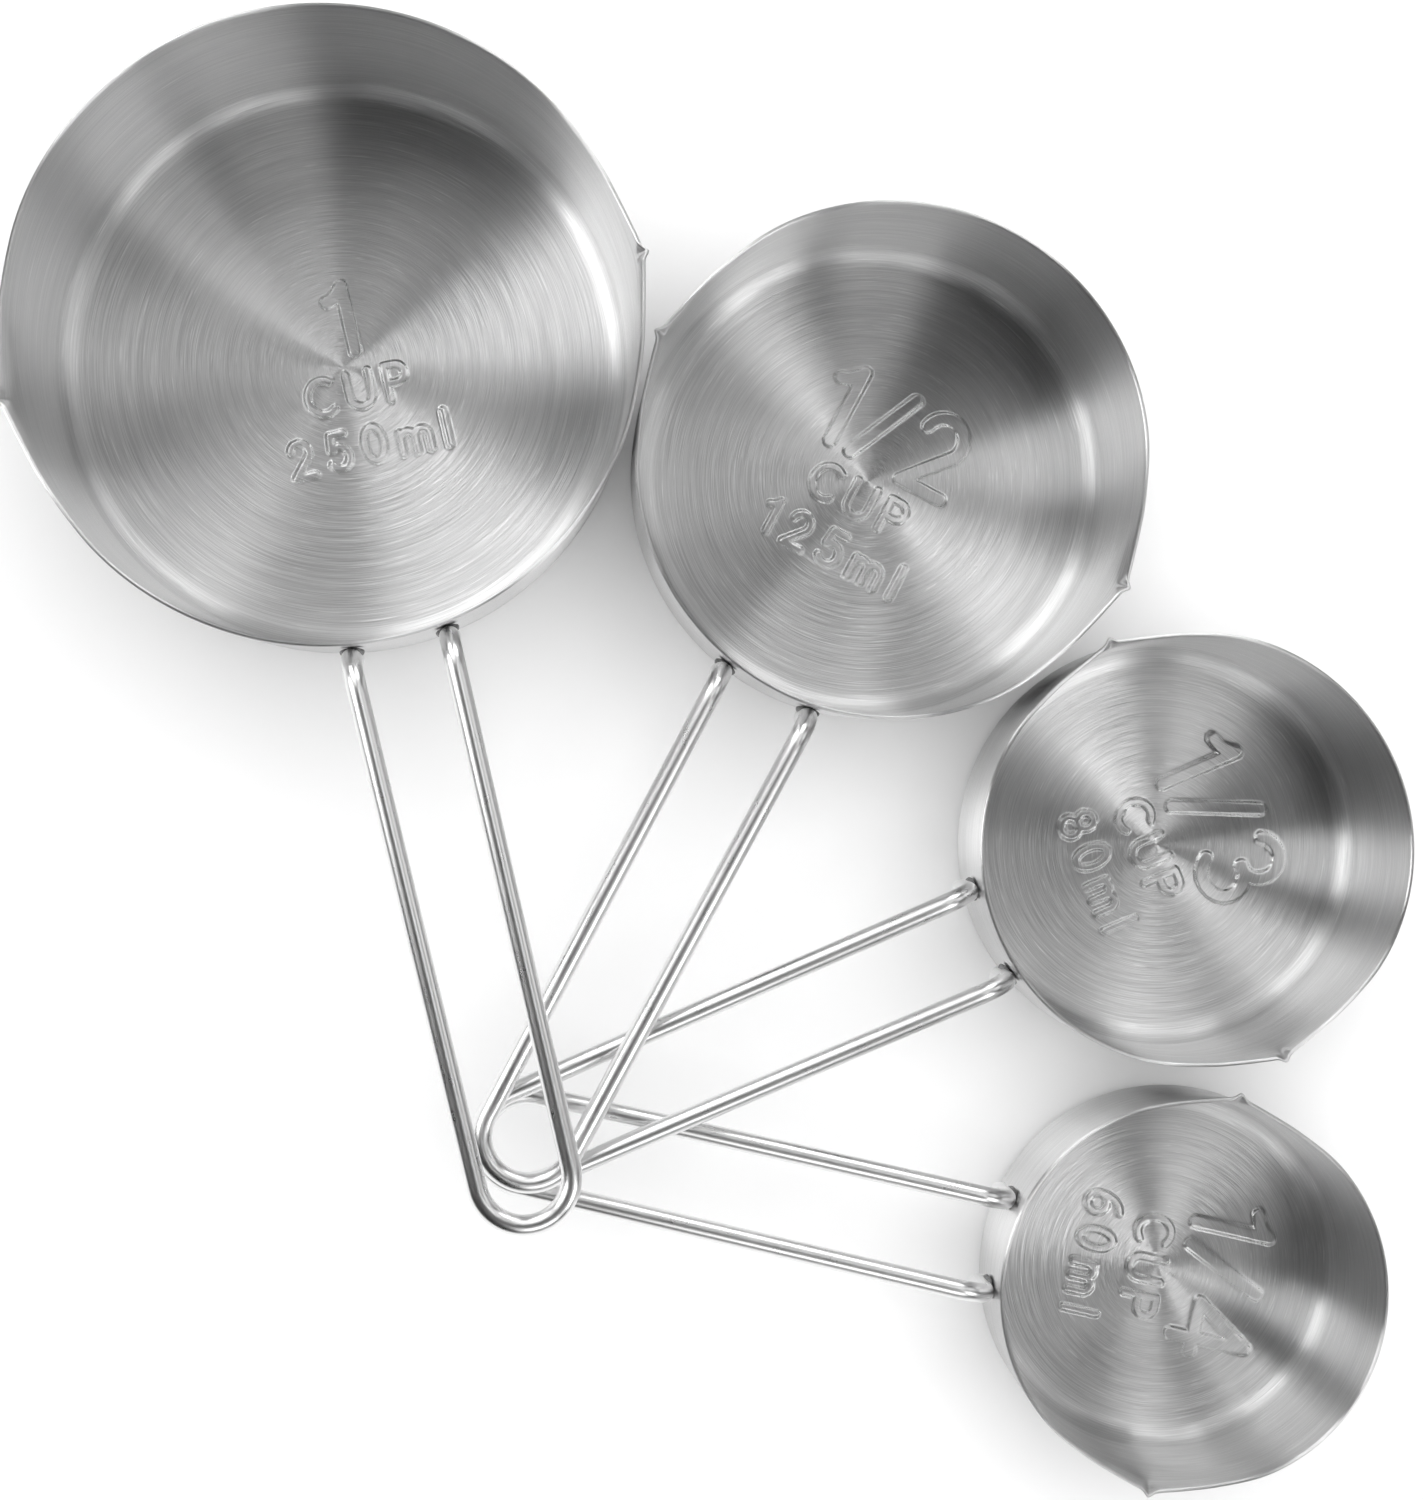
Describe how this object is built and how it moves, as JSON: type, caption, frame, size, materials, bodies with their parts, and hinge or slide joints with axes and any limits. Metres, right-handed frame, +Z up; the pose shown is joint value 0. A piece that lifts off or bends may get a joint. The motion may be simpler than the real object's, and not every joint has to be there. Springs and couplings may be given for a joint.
{
  "type": "measuring cup set",
  "caption": "Nesting steel measuring cups with pouring lips and bent wire handles, standing on their bases with the handles fanned out and their end loops stacked.",
  "frame": {"origin": "on the table, under the middle of the whole set's bounding box", "axes": "+Z up; +Y across the fan, towards the largest cup; +X towards the two smallest cups"},
  "size_m": [0.1916, 0.2014, 0.0476],
  "materials": {
    "brushed_bowl": "stainless sheet, finely brushed in rings about the cup's axis",
    "polished_wire": "polished stainless wire",
    "weld_bead": "slightly dulled weld bead"
  },
  "bodies": {
    "one_cup": {"one_cup_bowl": "brushed_bowl", "one_cup_handle": "polished_wire", "one_cup_welds": "weld_bead"},
    "half_cup": {"half_cup_bowl": "brushed_bowl", "half_cup_handle": "polished_wire", "half_cup_welds": "weld_bead"},
    "third_cup": {"third_cup_bowl": "brushed_bowl", "third_cup_handle": "polished_wire", "third_cup_welds": "weld_bead"},
    "quarter_cup": {"quarter_cup_bowl": "brushed_bowl", "quarter_cup_handle": "polished_wire", "quarter_cup_welds": "weld_bead"}
  },
  "joints": [
    {"name": "third_cup_lift", "type": "slide", "parent": "quarter_cup", "child": "third_cup", "axis": [0, 0, 1], "range_m": [0, 0.06]},
    {"name": "half_cup_lift", "type": "slide", "parent": "third_cup", "child": "half_cup", "axis": [0, 0, 1], "range_m": [0, 0.06]},
    {"name": "one_cup_lift", "type": "slide", "parent": "half_cup", "child": "one_cup", "axis": [0, 0, 1], "range_m": [0, 0.06]}
  ]
}
